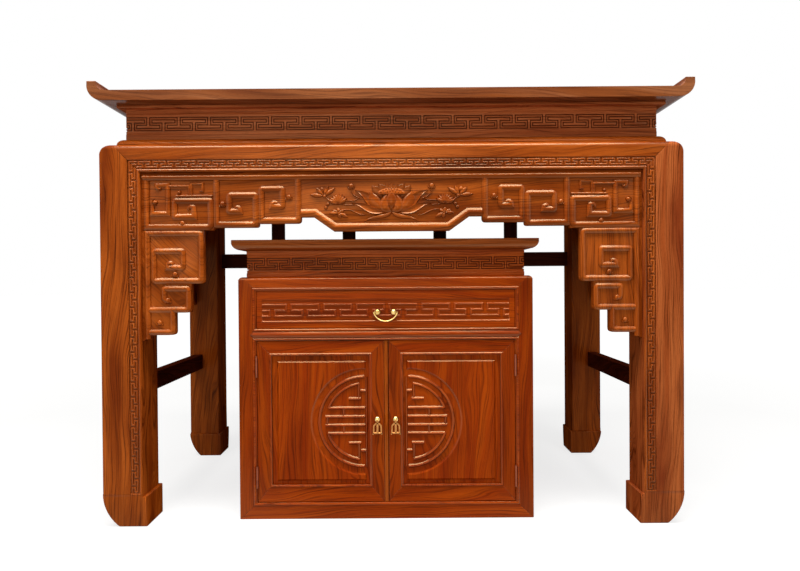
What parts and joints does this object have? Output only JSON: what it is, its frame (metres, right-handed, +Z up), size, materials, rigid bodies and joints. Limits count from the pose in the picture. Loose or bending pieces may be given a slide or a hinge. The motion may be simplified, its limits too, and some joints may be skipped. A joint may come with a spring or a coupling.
{
  "type": "altar table",
  "caption": "Tall hardwood altar table with raised ends, carved waist and stepped apron, with a matching low cabinet of a drawer and double doors that slides out from beneath it.",
  "frame": {"origin": "on the floor under the middle of the table's top", "axes": "+X to the right along the table's length, front towards -Y, +Z up"},
  "size_m": [1.75, 0.87, 1.296],
  "materials": {
    "rosewood": "polished lacquer over figured red-orange rosewood",
    "inner_rosewood": "satin, darker secondary faces",
    "brass": "polished"
  },
  "bodies": {
    "table": {"top_boards": "rosewood", "top_battens": "inner_rosewood", "top_front_rail": "rosewood", "top_rear_rail": "rosewood", "top_end_left": "rosewood", "top_end_right": "rosewood", "waist_front": "rosewood", "waist_rear": "rosewood", "waist_ends": "rosewood", "waist_plinth": "rosewood", "shoulder_rail_front": "rosewood", "shoulder_rail_rear": "rosewood", "shoulder_rail_left": "rosewood", "shoulder_rail_right": "rosewood", "apron_front": "rosewood", "apron_left": "rosewood", "apron_right": "rosewood", "bracket_front_left": "rosewood", "bracket_front_right": "rosewood", "side_brackets": "rosewood", "leg_front_left": "rosewood", "leg_front_right": "rosewood", "leg_rear_left": "rosewood", "leg_rear_right": "rosewood", "side_stretchers": "inner_rosewood", "rear_stretcher": "inner_rosewood", "rear_slats": "inner_rosewood"},
    "cabinet": {"cabinet_top": "rosewood", "cabinet_waist_front": "rosewood", "cabinet_waist_returns": "rosewood", "cabinet_post_front_left": "rosewood", "cabinet_post_front_right": "rosewood", "cabinet_rear_posts": "rosewood", "cabinet_shoulder_rail": "rosewood", "cabinet_mid_rail": "rosewood", "cabinet_bottom_rail": "rosewood", "cabinet_carcass_rails": "inner_rosewood", "cabinet_side_panels": "rosewood", "cabinet_back": "inner_rosewood", "cabinet_floor": "inner_rosewood", "drawer_runners": "inner_rosewood", "dust_panel": "inner_rosewood", "cabinet_hinge_leaves": "brass"},
    "drawer": {"drawer_front": "rosewood", "drawer_box": "inner_rosewood", "drawer_bottom": "inner_rosewood", "drawer_bail_posts": "brass"},
    "bail": {"drawer_bail": "brass"},
    "left_door": {"left_door_frame": "rosewood", "left_door_panel": "rosewood", "left_door_leaves": "brass", "door_meeting_strip": "rosewood", "left_pull_rose": "brass"},
    "right_door": {"right_door_frame": "rosewood", "right_door_panel": "rosewood", "right_door_leaves": "brass", "right_pull_rose": "brass"},
    "left_drop": {"left_pendant": "brass"},
    "right_drop": {"right_pendant": "brass"}
  },
  "joints": [
    {"name": "cabinet_pull_out", "type": "slide", "parent": "table", "child": "cabinet", "axis": [0, -1, 0], "range_m": [0, 0.55]},
    {"name": "drawer_slide", "type": "slide", "parent": "cabinet", "child": "drawer", "axis": [0, -1, 0], "range_m": [0, 0.36]},
    {"name": "left_door_hinge", "type": "hinge", "parent": "cabinet", "child": "left_door", "pos_m": [-0.4094, -0.3678, 0.2935], "axis": [0, 0, -1], "range_deg": [0, 110]},
    {"name": "right_door_hinge", "type": "hinge", "parent": "cabinet", "child": "right_door", "pos_m": [0.3674, -0.3678, 0.2935], "axis": [0, 0, 1], "range_deg": [0, 110]},
    {"name": "bail_swing", "type": "hinge", "parent": "drawer", "child": "bail", "pos_m": [-0.021, -0.373, 0.6225], "axis": [-1, 0, 0], "range_deg": [0, 85]},
    {"name": "left_drop_swing", "type": "hinge", "parent": "left_door", "child": "left_drop", "pos_m": [-0.0475, -0.373, 0.298], "axis": [-1, 0, 0], "range_deg": [0, 80]},
    {"name": "right_drop_swing", "type": "hinge", "parent": "right_door", "child": "right_drop", "pos_m": [0.0071, -0.373, 0.298], "axis": [-1, 0, 0], "range_deg": [0, 80]}
  ]
}
